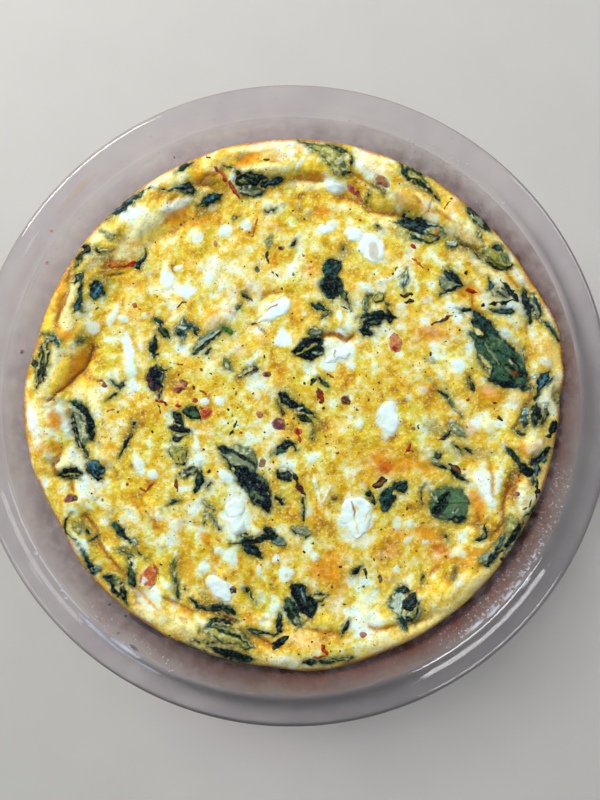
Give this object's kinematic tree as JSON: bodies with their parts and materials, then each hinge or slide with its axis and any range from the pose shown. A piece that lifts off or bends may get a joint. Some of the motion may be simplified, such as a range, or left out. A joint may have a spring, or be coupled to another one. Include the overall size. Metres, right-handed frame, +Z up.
{
  "type": "dish of quiche",
  "caption": "Round crustless quiche with spinach, melted cheese, tomato and ham, baked in a clear glass pie dish with a wide flange.",
  "frame": {"origin": "centre of the dish's footprint, on the surface it stands on", "axes": "+Z up out of the open dish; +X to the right and +Y to the top of the picture, which looks straight down"},
  "size_m": [0.24, 0.24, 0.038],
  "materials": {
    "clear_glass": "clear, glossy",
    "egg": "baked egg custard, moist, browned in places",
    "leaf": "cooked spinach leaf, wet",
    "cheese": "melted white cheese, moist",
    "tomato_and_ham": "cooked tomato and ham, moist"
  },
  "bodies": {
    "root": {"cheese_east": "cheese", "cheese_heart": "cheese", "cheese_middle": "cheese", "cheese_north": "cheese", "cheese_northeast": "cheese", "cheese_northwest": "cheese", "cheese_south": "cheese", "cheese_southeast": "cheese", "cheese_southwest": "cheese", "cheese_wedge": "cheese", "egg_body": "egg", "glass_dish": "clear_glass", "ham_east": "tomato_and_ham", "ham_middle": "tomato_and_ham", "ham_north": "tomato_and_ham", "ham_west": "tomato_and_ham", "leaf_centre": "leaf", "leaf_cross_east": "leaf", "leaf_cross_west": "leaf", "leaf_dome": "leaf", "leaf_east_green": "leaf", "leaf_east_rim": "leaf", "leaf_long_black": "leaf", "leaf_long_green": "leaf", "leaf_middle_black": "leaf", "leaf_north_mass": "leaf", "leaf_north_olive": "leaf", "leaf_north_teal": "leaf", "leaf_northeast_edge": "leaf", "leaf_northeast_lobe": "leaf", "leaf_northeast_strings": "leaf", "leaf_northeast_triangle": "leaf", "leaf_northwest_band": "leaf", "leaf_northwest_edge": "leaf", "leaf_purple": "leaf", "leaf_south_band": "leaf", "leaf_south_big": "leaf", "leaf_south_corner": "leaf", "leaf_south_lobe": "leaf", "leaf_south_mass": "leaf", "leaf_south_rim": "leaf", "leaf_southeast_dark": "leaf", "leaf_southeast_rim": "leaf", "leaf_southeast_round": "leaf", "leaf_southwest_pair": "leaf", "leaf_southwest_strip": "leaf", "leaf_southwest_triangle": "leaf", "leaf_square": "leaf", "leaf_west_black": "leaf", "leaf_west_blue": "leaf", "leaf_west_bow": "leaf", "leaf_west_cluster": "leaf", "leaf_west_edge": "leaf", "leaf_west_hump": "leaf", "leaf_wide": "leaf", "tomato_middle": "tomato_and_ham", "tomato_southwest": "tomato_and_ham", "tomato_strip": "tomato_and_ham", "tomato_west": "tomato_and_ham"}
  },
  "joints": []
}
